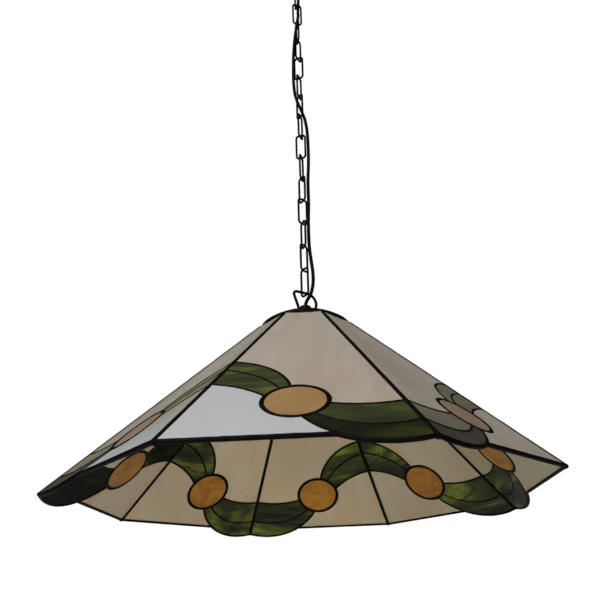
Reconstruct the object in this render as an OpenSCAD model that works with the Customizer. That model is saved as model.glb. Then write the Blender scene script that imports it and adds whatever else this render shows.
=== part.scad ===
// Pool table lamp: an octagonal leaded-glass shade that hangs on a chain from a ceiling canopy.
// Millimetres, +Z up. The origin is on the ceiling, at the middle of the two bracket screws.

/* [Shade] */
// Width of the shade across its rim corners
shade_w = 610; // [570:5:650]
// Height from the rim plane to the cut top edge of the panels
shade_h = 230; // [215:1:245]
// Width of the opening under the cap, across its corners
opening_w = 123; // [120:1:126]
// Thickness of the glass
glass_t = 3; // [2.5:0.1:3.5]
// Thickness of the solder beads through the panel
solder_t = 4.6; // [4.2:0.1:5]
// Width of a solder line between two pieces of glass
line_w = 3.4; // [2.6:0.1:4]
// Width of the solder at each side of a ridge
ridge_w = 3; // [2.4:0.1:4]
// Width of the solder along the rim
rim_w = 4; // [3:0.1:5]
// Gap between two pieces of glass, filled by foil and solder
glass_gap = 1; // [0.8:0.1:1.4]
// Radius of the round glass, to the middle of its solder line
disc_r = 31.5; // [29:0.5:33]

/* [Cap] */
// Diameter of the domed cap
cap_d = 126; // [124:1:134]
// Height of the cap
cap_h = 24; // [22:1:27]
// Thickness of the cap's sheet
cap_t = 1.5; // [1:0.1:2]

/* [Chain] */
// Distance from the ceiling to the rim plane
drop = 950; // [950:1:952]
// Wire of a chain link
link_wire = 3.2; // [2.8:0.1:3.2]
// Length of a chain link, outside
link_l = 46.4; // [46.2:0.1:46.6]
// Width of a chain link, outside
link_w = 17.2; // [16.8:0.1:17.4]
// Free play where two links meet
link_gap = 0.3; // [0.2:0.05:0.4]
// Wire of the two hanging loops
loop_wire = 4; // [3.4:0.1:4]

/* [Flex] */
// Diameter of the flex
flex_d = 5; // [4:0.1:5]

/* [Canopy] */
// Diameter of the ceiling canopy
canopy_d = 120; // [110:1:140]
// Depth of the ceiling canopy
canopy_h = 30; // [28:1:31]
// Distance between the two ceiling screws
screw_spacing = 84; // [70:1:90]
// Diameter of a ceiling screw hole
screw_hole_d = 5; // [4:0.1:6]

/* [Hidden] */

smooth = 96;
fine = 48;

// Octagon: corner radius, apothem and half side at the rim and at the top opening.
half_turn = 22.5;
rim_r = shade_w / 2;
top_r = opening_w / 2;
rim_apothem = rim_r * cos(half_turn);
rim_half = rim_r * sin(half_turn);
top_half = top_r * sin(half_turn);
slope_run = (rim_r - top_r) * cos(half_turn);
slope_a = atan2(shade_h, slope_run);
slope_l = norm([shade_h, slope_run]);
seam_taper = (rim_half - top_half) / slope_l;
seam_lean = atan(seam_taper);

// Panel drawing, in fractions of the corner radius: X along the rim, Y up the slope.
// The ribbon's lead lines are arcs [centre x, centre y, radius], from its upper edge down.
crest_arcs = [[-0.284, 0.269, 0.267], [-0.341, 0.151, 0.323], [-0.353, 0.009, 0.350]];
dip_arcs = [[0.221, 0.573, 0.407], [0.257, 0.310, 0.271], [0.286, 0.250, 0.2985]];
disc_y = 0.209 * rim_r;

rim_lip = 1.5;
rim_z = -drop;
cap_z = rim_z + shade_h;
apex_z = cap_z + cap_h;

// Chain: the first link is the top one. Each turn is the heading of a link's plane.
link_turns = [-65, 20, -72, 60, -20, 68, -50, 70, -12, 75, -50, 35, -62, 52, -45];
link_pitch = link_l - 2 * link_wire - link_gap;
chain_foot_z = rim_z + 287.6;
corner_r = 4.8;
function joint_z(i) = chain_foot_z + (15 - i) * link_pitch;

// Hanging loops: heading of each loop's plane.
canopy_loop_turn = 25;
shade_loop_turn = 30;
neck_r = 8;
bush_r = 4.5;
nipple_r = 5;
nipple_bore = 3.5;
thread_play = 0.05;
bush_bore = flex_d / 2 + 0.4;
canopy_bore = nipple_r + 0.2;
cap_lip = 2;
canopy_lip = 4;

// How far a dome has already dropped at the edge of its centre hole, where a collar sits.
function dome_ball(radius, rise) = (radius * radius + rise * rise) / (2 * rise);
function seat_drop(ball) = ball - sqrt(ball * ball - canopy_bore * canopy_bore);
cap_seat = seat_drop(dome_ball(cap_d / 2, cap_h - cap_lip));
canopy_seat = seat_drop(dome_ball(canopy_d / 2, canopy_h - canopy_lip));

// Route of the flex, from the canopy down to the lampholder.
flex_route = [
    [0, 0, -1], [0, 0, -14], [0, 0, -28], [0, 0, -38], [0, 0, -46], [0.7, 1.5, -52.5],
    [1.7, 3.9, -59.5], [2.5, 6.7, -67], [2.4, 9.5, -78], [1.9, 10.4, -90], [1.6, 9.4, -100],
    [1.4, 7.3, -109], [1.3, 3.3, -119], [2.1, -5.3, -134], [2, -10, -144], [1.3, -13.1, -154],
    [-0.4, -14.9, -168], [-3.5, -13.5, -190], [-6.1, -10.6, -213], [-7.7, -7.7, -235],
    [-8.4, -5.5, -257], [-8.5, -3.9, -280], [-7.3, -2.3, -298], [-5.4, -1.3, -308],
    [-2.9, -0.3, -317], [2.7, 1.3, -333], [5.6, 2.1, -342], [8.1, 2.9, -352], [10.4, 3.5, -372],
    [11.3, 2, -405], [10.9, 0.2, -437], [9.3, -0.8, -472], [9.2, -1.2, -510], [8, -1.4, -545],
    [8, -1.6, -580], [10, -1.9, -606], [12, -2.2, -626], [12.1, -2.1, -644], [9.7, -1.4, -658],
    [6.8, -0.6, -665], [2.9, -0.2, -671.5], [0.6, 0, -677.2], [0, 0, -682.6], [0, 0, -690],
    [0, 0, -700], [0, 0, -715], [0, 0, -728]];
flex_sides = 10;
flex_steps = 1;

// ---- 2-D drawing of one panel ----

function seam_x(y, margin) = rim_half - y * seam_taper + margin / cos(seam_lean);

module field(margin, low, high) {
    polygon([[-seam_x(low, margin), low], [seam_x(low, margin), low],
             [seam_x(high, margin), high], [-seam_x(high, margin), high]]);
}

module arc_disc(arc, grow) {
    translate([arc[0], arc[1]] * rim_r) circle(r = arc[2] * rim_r + grow, $fn = 2 * smooth);
}

module round_glass(grow) {
    translate([0, disc_y]) circle(r = disc_r + grow, $fn = smooth);
}

module above_disc() {
    translate([-rim_r, disc_y]) square([2 * rim_r, 2 * rim_r]);
}

module below_disc() {
    translate([-rim_r, disc_y - rim_r]) square([2 * rim_r, rim_r]);
}

// Cream glass over the ribbon, inset from the middle of each solder line.
module upper_cream(inset, edge) {
    intersection() {
        field(-edge, -rim_r / 4, slope_l + 8);
        difference() {
            union() {
                difference() {
                    above_disc();
                    arc_disc(crest_arcs[0], inset);
                }
                intersection() {
                    below_disc();
                    arc_disc(dip_arcs[0], -inset);
                }
            }
            round_glass(inset);
        }
    }
}

// Cream glass between the ribbon and the rim.
module lower_cream(inset, edge, rim) {
    intersection() {
        field(-edge, rim, slope_l);
        difference() {
            union() {
                intersection() {
                    above_disc();
                    arc_disc(crest_arcs[2], -inset);
                }
                difference() {
                    below_disc();
                    arc_disc(dip_arcs[2], inset);
                }
            }
            round_glass(inset);
        }
    }
}

// One strip of the ribbon beside the crest seam: strip 0 is the upper one.
module crest_strip(strip, inset, edge) {
    intersection() {
        field(-edge, 0, slope_l);
        above_disc();
        difference() {
            arc_disc(crest_arcs[strip], -inset);
            arc_disc(crest_arcs[strip + 1], inset);
            round_glass(inset);
        }
    }
}

// One strip of the ribbon beside the dip seam, where it hangs below the rim as a lobe.
module dip_strip(strip, inset, edge) {
    intersection() {
        field(-edge, -rim_r / 4, slope_l);
        below_disc();
        difference() {
            arc_disc(dip_arcs[strip + 1], -inset);
            arc_disc(dip_arcs[strip], inset);
            round_glass(inset);
        }
    }
}

module green_strips(inset, edge) {
    for (strip = [0, 1]) {
        crest_strip(strip, inset, edge);
        dip_strip(strip, inset, edge);
    }
}

module all_glass(inset, edge, rim) {
    upper_cream(inset, edge);
    lower_cream(inset, edge, rim);
    green_strips(inset, edge);
    round_glass(-inset);
}

// Outline of the whole panel, run past its seams for the mitre to cut.
module panel_blank() {
    field(3, -rim_lip, slope_l + 8);
    intersection() {
        field(3, -rim_r / 4, slope_l);
        below_disc();
        arc_disc(dip_arcs[2], rim_lip);
    }
}

// ---- panels in place ----

// Panel 1 faces -Y. Its neighbours are mirror images, so crests meet crests.
module on_panel(i) {
    translate([0, 0, rim_z]) rotate([0, 0, 45 * (i - 1)]) {
        if (i % 2 == 0) {
            mirror([1, 0, 0]) tilt_panel() children();
        } else {
            tilt_panel() children();
        }
    }
}

module tilt_panel() {
    translate([0, -rim_apothem, 0]) rotate([slope_a, 0, 0]) children();
}

module slab(thickness) {
    translate([0, 0, -thickness / 2]) linear_extrude(thickness) children();
}

// Vertical wedge of one panel: it mitres the seams and cuts the top level.
module mitre(i) {
    reach = rim_r + 60;
    side = reach * tan(half_turn);
    translate([0, 0, rim_z - 60]) rotate([0, 0, 45 * (i - 1)])
        linear_extrude(60 + shade_h) polygon([[0, 0], [-side, -reach], [side, -reach]]);
}

module cream_glass(i) {
    color("wheat") intersection() {
        on_panel(i) slab(glass_t) {
            upper_cream(glass_gap / 2, glass_gap);
            lower_cream(glass_gap / 2, glass_gap, glass_gap / 2);
        }
        mitre(i);
    }
}

module green_glass(i) {
    color("darkolivegreen") on_panel(i) slab(glass_t) green_strips(glass_gap / 2, glass_gap);
}

module amber_discs() {
    color("peru") for (i = [1:8]) on_panel(i) slab(glass_t) round_glass(-glass_gap / 2);
}

// Foil and solder round every piece of glass, with a bead that laps both faces.
module solder_web(i) {
    color([0.12, 0.11, 0.1]) intersection() {
        on_panel(i) difference() {
            slab(solder_t) difference() {
                panel_blank();
                all_glass(line_w / 2, ridge_w, rim_w - rim_lip);
            }
            slab(glass_t) all_glass(glass_gap / 2, glass_gap, glass_gap / 2);
        }
        mitre(i);
    }
}

// ---- cap and what carries the shade ----

// Section of a domed sheet with a level lip, on the +X side of the axis.
module dome_section(radius, height, lip, sheet, hole) {
    ball = dome_ball(radius, height - lip);
    intersection() {
        translate([hole, 0]) square([radius - hole, height + 1]);
        union() {
            translate([radius - sheet, 0]) square([sheet, lip]);
            intersection() {
                translate([0, lip]) square([radius, height]);
                translate([0, height - ball]) difference() {
                    circle(r = ball, $fn = 2 * smooth);
                    circle(r = ball - sheet, $fn = 2 * smooth);
                }
            }
        }
    }
}

module vase_cap() {
    color([0.1, 0.1, 0.1]) translate([0, 0, cap_z]) rotate_extrude($fn = smooth)
        dome_section(cap_d / 2, cap_h, cap_lip, cap_t, canopy_bore);
}

module tube(outer, inner, height) {
    difference() {
        cylinder(r = outer, h = height, $fn = fine);
        translate([0, 0, -1]) cylinder(r = inner, h = height + 2, $fn = fine);
    }
}

ring_r = 59;
ring_t = 2;
ring_z = cap_z;
spider_t = 2;
spider_z = ring_z + ring_t;

module reinforcing_ring() {
    color("goldenrod") translate([0, 0, ring_z]) tube(ring_r, ring_r - 10, ring_t);
}

module support_spider() {
    color("goldenrod") translate([0, 0, spider_z]) difference() {
        union() {
            cylinder(r = 12, h = spider_t, $fn = fine);
            for (a = [0:90:270]) rotate([0, 0, a]) translate([0, -6, 0]) cube([ring_r - 4, 12, spider_t]);
        }
        translate([0, 0, -1]) cylinder(r = canopy_bore, h = spider_t + 2, $fn = fine);
    }
}

nipple_top_z = apex_z + 8.5;
nipple_foot_z = cap_z - 16;

module lamp_nipple() {
    color("gold") translate([0, 0, nipple_foot_z]) tube(nipple_r, nipple_bore, nipple_top_z - nipple_foot_z);
}

nut_h = 5;
washer_t = 1.2;

module nut_and_washer() {
    difference() {
        cylinder(d = 18, h = nut_h, $fn = 6);
        translate([0, 0, -1]) cylinder(r = nipple_r + thread_play, h = nut_h + 2, $fn = fine);
    }
    translate([0, 0, nut_h]) tube(10, nipple_r + thread_play, washer_t);
}

module nipple_nuts() {
    color("silver") {
        translate([0, 0, spider_z - nut_h - washer_t]) nut_and_washer();
        translate([0, 0, apex_z - cap_t - 0.6 - nut_h - washer_t]) nut_and_washer();
    }
}

// Wire bent in the XZ plane: a quarter or other arc about a centre, from angle a1 to a2.
module wire_arc(centre, radius, a1, a2, wire) {
    translate([centre[0], 0, centre[1]]) rotate([90, 0, 180]) mirror([1, 0, 0]) rotate([0, 0, a1])
        rotate_extrude(angle = a2 - a1, $fn = smooth) translate([radius, 0]) circle(d = wire, $fn = fine);
}

module wire_rod(from, to, wire) {
    run = to - from;
    translate([from[0], 0, from[1]]) rotate([0, atan2(run[0], run[1]), 0])
        cylinder(d = wire, h = norm(run), $fn = fine);
}

// A collar on the nipple's thread: a flange, a neck and a bore for the cord bush.
flange_r = 12;
flange_t = 3;
neck_h = 14;
thread_h = 9;

module collar_body() {
    cylinder(r = flange_r, h = flange_t, $fn = fine);
    cylinder(r = neck_r, h = neck_h, $fn = fine);
}

module collar_bore() {
    translate([0, 0, -1]) cylinder(r = nipple_r + thread_play, h = thread_h + 1, $fn = fine);
    translate([0, 0, -1]) cylinder(r = bush_r, h = neck_h + 2, $fn = fine);
}

// Cord bush: a sleeve in the collar's neck with a lip outside it.
module bush() {
    translate([0, 0, thread_h]) tube(bush_r, bush_bore, neck_h - thread_h);
    translate([0, 0, neck_h]) tube(bush_r + 1.2, bush_bore, 1.5);
}

// The shade's loop: a wire bail, flat on top, with a round shoulder on one side.
loop_top = chain_foot_z + link_gap / 2 + loop_wire / 2 - apex_z;
loop_corner = [-12.9, loop_top - 4.5];
loop_corner_r = 4.5;
loop_shoulder = [2.8, loop_top - 14.5];
loop_shoulder_r = 14.5;
left_foot = [-7.5, 1.5];
right_foot = [9, 1.5];

function lean_of(v) = atan2(v[0], v[1]);
left_v = loop_corner - left_foot;
left_lean = lean_of(left_v) - asin(loop_corner_r / norm(left_v));
right_v = loop_shoulder - right_foot;
right_lean = lean_of(right_v) + asin(loop_shoulder_r / norm(right_v));
left_touch = loop_corner + loop_corner_r * [-cos(left_lean), sin(left_lean)];
right_touch = loop_shoulder + loop_shoulder_r * [cos(right_lean), -sin(right_lean)];

// A ball hides each place where a leaning leg meets its bend.
knuckle_r = loop_wire / 2 + 0.2;
knuckle_gap = 0.3;

module knuckle(at) {
    translate([at[0], 0, at[1]]) sphere(r = knuckle_r, $fn = fine);
}

module leg(foot, touch) {
    run = norm(touch - foot);
    wire_rod(foot, foot + (touch - foot) * (run - knuckle_gap) / run, loop_wire);
    knuckle(touch);
}

module shade_bail() {
    short_turn = knuckle_gap / loop_corner_r * 180 / PI;
    long_turn = knuckle_gap / loop_shoulder_r * 180 / PI;
    leg(left_foot, left_touch);
    wire_arc(loop_corner, loop_corner_r, 90, 180 - left_lean - short_turn, loop_wire);
    wire_rod([loop_corner[0], loop_top], [loop_shoulder[0], loop_top], loop_wire);
    wire_arc(loop_shoulder, loop_shoulder_r, long_turn - right_lean, 90, loop_wire);
    leg(right_foot, right_touch);
}

module hanging_loop() {
    color([0.1, 0.1, 0.1]) translate([0, 0, apex_z]) difference() {
        union() {
            rotate([0, 0, shade_loop_turn]) shade_bail();
            translate([0, 0, -cap_seat]) collar_body();
        }
        translate([0, 0, -cap_seat]) collar_bore();
    }
}

module lower_bush() {
    color("black") translate([0, 0, apex_z - cap_seat]) bush();
}

// ---- lampholder and bulb ----

holder_z = cap_z - 5;
holder_r = 20;
holder_t = 2;
shell_foot_z = holder_z - 60;
base_r = 13.2;

module lampholder_cap() {
    color([0.15, 0.15, 0.15]) translate([0, 0, holder_z]) rotate_extrude($fn = smooth) difference() {
        polygon([[0, 0], [9, 0], [9, -6], [holder_r, -14], [holder_r, -28], [0, -28]]);
        polygon([[0, 1], [nipple_r + thread_play, 1], [nipple_r + thread_play, -11], [7, -11],
                 [holder_r - holder_t, -16], [holder_r - holder_t, -29], [0, -29]]);
    }
}

module lampholder_shell() {
    color([0.15, 0.15, 0.15]) translate([0, 0, shell_foot_z]) rotate_extrude($fn = smooth)
        polygon([[base_r + 0.8, 0], [22, 0], [22, 4], [19.5, 4], [19.5, 32], [17.5, 32],
                 [17.5, 38], [base_r + 0.8, 38]]);
}

module lampholder_insert() {
    color("white") translate([0, 0, shell_foot_z + 31]) difference() {
        cylinder(r = base_r + 0.7, h = 8, $fn = fine);
        for (side = [-1, 1]) translate([7 * side, 0, -1]) cylinder(r = 1.6, h = 10, $fn = fine);
    }
}

bulb_r = 27.5;
bulb_l = 71;
bulb_wall = 1;

module bulb_body(radius, neck, above) {
    translate([0, 0, bulb_r - bulb_l]) sphere(r = radius, $fn = smooth);
    translate([0, 0, -28]) cylinder(r1 = neck + 8.8, r2 = neck, h = 18, $fn = smooth);
    translate([0, 0, -10]) cylinder(r = neck, h = 10 + above, $fn = smooth);
}

module bulb_glass() {
    color("white") translate([0, 0, shell_foot_z + 1]) difference() {
        bulb_body(bulb_r, base_r, 0);
        bulb_body(bulb_r - bulb_wall, base_r - bulb_wall, 1);
    }
}

module bulb_base() {
    color("silver") translate([0, 0, shell_foot_z + 1]) {
        cylinder(r = base_r, h = 21, $fn = fine);
        translate([0, 0, 21]) cylinder(r1 = base_r, r2 = 5, h = 5, $fn = fine);
        translate([0, 0, 26]) cylinder(r = 5, h = 2, $fn = fine);
    }
}

// ---- ceiling parts ----

bracket_t = 2;
bracket_w = 20;

module ceiling_bracket() {
    color("silver") translate([0, 0, -bracket_t]) difference() {
        translate([-screw_spacing / 2 - 8, -bracket_w / 2, 0])
            cube([screw_spacing + 16, bracket_w, bracket_t]);
        translate([0, 0, -1]) cylinder(r = nipple_r + thread_play, h = bracket_t + 2, $fn = fine);
        for (side = [-1, 1]) translate([side * screw_spacing / 2, 0, -1])
            cylinder(d = screw_hole_d, h = bracket_t + 2, $fn = fine);
    }
}

module canopy_nipple() {
    color("gold") translate([0, 0, -canopy_h - 8.5]) tube(nipple_r, nipple_bore, canopy_h + 8);
}

module ceiling_canopy() {
    color([0.1, 0.1, 0.1]) mirror([0, 0, 1]) rotate_extrude($fn = smooth)
        dome_section(canopy_d / 2, canopy_h, canopy_lip, 1.2, canopy_bore);
}

// The canopy's loop: a collar under the canopy with a wire bail down each side of its neck.
bail_half = 9;
bail_r = 7;
bail_foot_z = joint_z(0) - link_gap / 2 - loop_wire / 2;

module canopy_bail() {
    wire_rod([-bail_half, bail_foot_z + bail_r], [-bail_half, -canopy_h - 1.5], loop_wire);
    wire_rod([bail_half, bail_foot_z + bail_r], [bail_half, -canopy_h - 1.5], loop_wire);
    wire_arc([-bail_half + bail_r, bail_foot_z + bail_r], bail_r, 180, 270, loop_wire);
    wire_arc([bail_half - bail_r, bail_foot_z + bail_r], bail_r, 270, 360, loop_wire);
    wire_rod([-bail_half + bail_r, bail_foot_z], [bail_half - bail_r, bail_foot_z], loop_wire);
}

module canopy_loop() {
    collar_z = canopy_seat - canopy_h;
    color([0.1, 0.1, 0.1]) difference() {
        union() {
            rotate([0, 0, canopy_loop_turn]) canopy_bail();
            translate([0, 0, collar_z]) mirror([0, 0, 1]) collar_body();
        }
        translate([0, 0, collar_z]) mirror([0, 0, 1]) collar_bore();
    }
}

module upper_bush() {
    color("black") translate([0, 0, canopy_seat - canopy_h]) mirror([0, 0, 1]) bush();
}

// ---- chain ----

module chain_link(i) {
    half_w = (link_w - link_wire) / 2;
    half_l = (link_l - link_wire) / 2;
    flat_w = half_w - corner_r;
    flat_l = half_l - corner_r;
    mid_z = joint_z(i) + link_pitch / 2;
    color([0.1, 0.1, 0.1]) translate([0, 0, mid_z]) rotate([0, 0, link_turns[i - 1]]) {
        for (side = [-1, 1]) {
            wire_rod([side * half_w, -flat_l], [side * half_w, flat_l], link_wire);
            wire_rod([-flat_w, side * half_l], [flat_w, side * half_l], link_wire);
        }
        wire_arc([flat_w, flat_l], corner_r, 0, 90, link_wire);
        wire_arc([-flat_w, flat_l], corner_r, 90, 180, link_wire);
        wire_arc([-flat_w, -flat_l], corner_r, 180, 270, link_wire);
        wire_arc([flat_w, -flat_l], corner_r, 270, 360, link_wire);
    }
}

// ---- flex ----

// Catmull-Rom curve through the route, then a ring of points square to it at each place.
function clamp_at(p, i) = p[max(0, min(len(p) - 1, i))];
function blend4(a, b, c, d, t) = 0.5 * ((2 * b) + (c - a) * t + (2 * a - 5 * b + 4 * c - d) * t * t
    + (3 * b - a - 3 * c + d) * t * t * t);
function curve(p, steps) = concat(
    [for (i = [0:len(p) - 2]) for (s = [0:steps - 1])
        blend4(clamp_at(p, i - 1), p[i], p[i + 1], clamp_at(p, i + 2), s / steps)],
    [p[len(p) - 1]]);
function unit(v) = v / norm(v);
function heading(p, i) = unit(clamp_at(p, i + 1) - clamp_at(p, i - 1));
function ring(p, i, radius, sides) =
    let (along = heading(p, i), across = unit(cross(along, [0, 1, 0])), third = cross(along, across))
    [for (k = [0:sides - 1]) p[i] + radius * (cos(360 * k / sides) * across + sin(360 * k / sides) * third)];

module swept_tube(p, radius, sides) {
    count = len(p);
    points = [for (i = [0:count - 1]) each ring(p, i, radius, sides)];
    walls = [for (i = [0:count - 2]) for (k = [0:sides - 1])
        [i * sides + k, i * sides + (k + 1) % sides, (i + 1) * sides + (k + 1) % sides, (i + 1) * sides + k]];
    first_end = [for (k = [sides - 1:-1:0]) k];
    last_end = [for (k = [0:sides - 1]) (count - 1) * sides + k];
    polyhedron(points, concat([first_end], walls, [last_end]));
}

module flex() {
    color([0.08, 0.08, 0.08]) swept_tube(curve(flex_route, flex_steps), flex_d / 2, flex_sides);
}

for (i = [1:8]) cream_glass(i);
for (i = [1:8]) green_glass(i);
for (i = [1:8]) solder_web(i);
for (i = [1:15]) chain_link(i);
amber_discs();
vase_cap();
reinforcing_ring();
support_spider();
lamp_nipple();
nipple_nuts();
hanging_loop();
lower_bush();
lampholder_cap();
lampholder_shell();
lampholder_insert();
bulb_glass();
bulb_base();
ceiling_bracket();
canopy_nipple();
ceiling_canopy();
canopy_loop();
upper_bush();
flex();
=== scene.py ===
import math

import bmesh
import bpy
from mathutils import Matrix, Vector, noise


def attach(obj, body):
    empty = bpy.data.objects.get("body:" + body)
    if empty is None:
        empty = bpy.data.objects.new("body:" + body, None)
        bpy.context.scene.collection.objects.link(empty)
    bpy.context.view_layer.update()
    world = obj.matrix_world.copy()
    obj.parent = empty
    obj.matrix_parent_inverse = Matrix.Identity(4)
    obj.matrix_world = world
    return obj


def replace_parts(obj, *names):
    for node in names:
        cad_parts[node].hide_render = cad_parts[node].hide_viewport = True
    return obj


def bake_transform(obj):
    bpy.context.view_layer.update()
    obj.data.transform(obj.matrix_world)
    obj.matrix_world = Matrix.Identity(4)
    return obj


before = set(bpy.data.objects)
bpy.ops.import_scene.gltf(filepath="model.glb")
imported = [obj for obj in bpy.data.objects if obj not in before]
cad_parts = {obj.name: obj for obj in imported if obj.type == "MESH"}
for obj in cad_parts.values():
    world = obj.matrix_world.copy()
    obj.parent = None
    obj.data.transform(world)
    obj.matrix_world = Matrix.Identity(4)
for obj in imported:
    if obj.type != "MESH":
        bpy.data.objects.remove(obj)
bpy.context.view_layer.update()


# ---------------------------------------------------------------- sizes, in millimetres from the ceiling

MM = 0.001
FULL = 2 * math.pi
X_AXIS, Y_AXIS, Z_AXIS = Vector((1, 0, 0)), Vector((0, 1, 0)), Vector((0, 0, 1))

# The octagonal shade: its rim's corner radius and height, and its top opening.
RIM_Z = -950
RIM_R, TOP_R = 305.0, 61.5
SHADE_H = 230.0
HALF = math.radians(22.5)
APOTHEM = RIM_R * math.cos(HALF)
RIM_HALF = RIM_R * math.sin(HALF)
TOP_HALF = TOP_R * math.sin(HALF)
RUN = (RIM_R - TOP_R) * math.cos(HALF)
SLOPE_L = math.hypot(SHADE_H, RUN)
TAPER = (RIM_HALF - TOP_HALF) / SLOPE_L
COS, SIN = RUN / SLOPE_L, SHADE_H / SLOPE_L
SLOPE = math.atan2(SHADE_H, RUN)
# Where a panel's rim line lies in the panel's own axes, up its slope and off its face.
FLAT_FOOT = -APOTHEM * COS + RIM_Z * SIN
FLAT_FACE = APOTHEM * SIN + RIM_Z * COS

# A panel's drawing: the disc, and the ribbon's lead lines as circles (across, up, radius) in rim radii.
DISC = Vector((0, 0.209 * RIM_R))
DISC_R = 31.5
CREST = ((-0.284, 0.269, 0.267), (-0.341, 0.151, 0.323), (-0.353, 0.009, 0.350))
DIP = ((0.221, 0.573, 0.407), (0.257, 0.310, 0.271), (0.286, 0.250, 0.2985))

# The vase cap and the canopy: radius, height, straight lip and sheet.
CAP_Z = RIM_Z + 230
APEX_Z = CAP_Z + 24
CAP_DOME = (63, 24, 2, 1.5)
CANOPY_DOME = (60, 30, 4, 1.2)
DOME_HOLE_R = 5.2
COLLAR_Z = APEX_Z - 0.133
CANOPY_COLLAR_Z = -29.84

# The chain: each link's heading in degrees, the step between links, and its wire's centre line.
LINK_TURNS = (-65, 20, -72, 60, -20, 68, -50, 70, -12, 75, -50, 35, -62, 52, -45)
LINKS = len(LINK_TURNS)
PITCH = 39.7
FOOT_Z = RIM_Z + 287.6
LINK_HALF_W, LINK_HALF_L, LINK_CORNER = 7.0, 21.6, 4.8
LINK_WIRE_R = 1.6
LINK_GAP = 0.3
LOOP_WIRE_R = 2.0
SHADE_LOOP_TURN, CANOPY_LOOP_TURN = 30, 25

# The flex: its thickness, its way from the canopy to the lampholder, and where the bushes let it go.
FLEX_R = 2.5
FLEX_ROUTE = (
    (0, 0, -1), (0, 0, -14), (0, 0, -28), (0, 0, -38), (0, 0, -46), (0.7, 1.5, -52.5),
    (1.7, 3.9, -59.5), (2.5, 6.7, -67), (2.4, 9.5, -78), (1.9, 10.4, -90), (1.6, 9.4, -100),
    (1.4, 7.3, -109), (1.3, 3.3, -119), (2.1, -5.3, -134), (2, -10, -144), (1.3, -13.1, -154),
    (-0.4, -14.9, -168), (-3.5, -13.5, -190), (-6.1, -10.6, -213), (-7.7, -7.7, -235),
    (-8.4, -5.5, -257), (-8.5, -3.9, -280), (-7.3, -2.3, -298), (-5.4, -1.3, -308),
    (-2.9, -0.3, -317), (2.7, 1.3, -333), (5.6, 2.1, -342), (8.1, 2.9, -352), (10.4, 3.5, -372),
    (11.3, 2, -405), (10.9, 0.2, -437), (9.3, -0.8, -472), (9.2, -1.2, -510), (8, -1.4, -545),
    (8, -1.6, -580), (10, -1.9, -606), (12, -2.2, -626), (12.1, -2.1, -644), (9.7, -1.4, -658),
    (6.8, -0.6, -665), (2.9, -0.2, -671.5), (0.6, 0, -677.2), (0, 0, -682.6), (0, 0, -690),
    (0, 0, -700), (0, 0, -715), (0, 0, -728))

HOLDER_Z = CAP_Z - 5
SHELL_Z = HOLDER_Z - 60
BULB_R, BULB_DROP = 27.5, 43.5


# ---------------------------------------------------------------- camera

CAMERA_AT = Vector((0.0381, -0.7765, -1.0915))
CAMERA_YAW, CAMERA_TILT, CAMERA_ROLL = math.radians(0.82), math.radians(19.14), math.radians(-2.30)
CAMERA_LENS, CAMERA_SENSOR = 37.06, 36
CAMERA_SHIFT = (-0.0473, 0.1668)


def set_camera():
    """Stands under the rim and looks up at the lamp."""
    across = Vector((math.cos(CAMERA_YAW), math.sin(CAMERA_YAW), 0))
    ahead = Vector((-math.sin(CAMERA_YAW), math.cos(CAMERA_YAW), 0))
    forward = math.cos(CAMERA_TILT) * ahead + math.sin(CAMERA_TILT) * Z_AXIS
    level_up = -math.sin(CAMERA_TILT) * ahead + math.cos(CAMERA_TILT) * Z_AXIS
    right = math.cos(CAMERA_ROLL) * across + math.sin(CAMERA_ROLL) * level_up
    top = -math.sin(CAMERA_ROLL) * across + math.cos(CAMERA_ROLL) * level_up
    data = bpy.data.cameras.new("photo_camera")
    data.sensor_width = CAMERA_SENSOR
    data.lens = CAMERA_LENS
    data.shift_x, data.shift_y = CAMERA_SHIFT
    data.clip_start = 0.02
    cam = bpy.data.objects.new("photo_camera", data)
    bpy.context.scene.collection.objects.link(cam)
    place = Matrix((right, top, -forward)).transposed().to_4x4()
    place.translation = CAMERA_AT
    cam.matrix_world = place
    bpy.context.scene.camera = cam


set_camera()


# ---------------------------------------------------------------- mesh tools

class Shell:
    """Collects closed shells, in millimetres, into one mesh."""

    def __init__(self):
        self.verts, self.faces = [], []

    def rings(self, rings, closed=False, poles=None):
        """Skins a row of rings: joined end to end if closed, else ended at poles or with flat ends."""
        start = len(self.verts)
        n, count = len(rings[0]), len(rings)
        for ring in rings:
            self.verts.extend(ring)
        for i in range(count if closed else count - 1):
            a, b = start + i * n, start + ((i + 1) % count) * n
            for k in range(n):
                q = (k + 1) % n
                self.faces.append((a + k, a + q, b + q, b + k))
        if closed:
            return
        last = start + (count - 1) * n
        if not poles:
            self.faces.append(tuple(start + k for k in reversed(range(n))))
            self.faces.append(tuple(last + k for k in range(n)))
            return
        for ring_at, pole, flip in ((start, poles[0], True), (last, poles[1], False)):
            tip = len(self.verts)
            self.verts.append(pole)
            for k in range(n):
                a, b = ring_at + k, ring_at + (k + 1) % n
                self.faces.append((b, a, tip) if flip else (a, b, tip))

    def build(self, name, material, slot, body=None):
        mesh = bpy.data.meshes.new(name)
        mesh.from_pydata([tuple(c * MM for c in v) for v in self.verts], [], self.faces)
        mesh.validate()
        mesh.update()
        mesh.polygons.foreach_set("use_smooth", [True] * len(mesh.polygons))
        mesh.set_sharp_from_angle(angle=math.radians(50))
        obj = bpy.data.objects.new(name, mesh)
        bpy.context.scene.collection.objects.link(obj)
        mesh.materials.append(material)
        if body:
            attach(obj, body)
        return obj


def fix_normals(obj):
    bm = bmesh.new()
    bm.from_mesh(obj.data)
    bmesh.ops.recalc_face_normals(bm, faces=bm.faces)
    bm.to_mesh(obj.data)
    bm.free()


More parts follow.
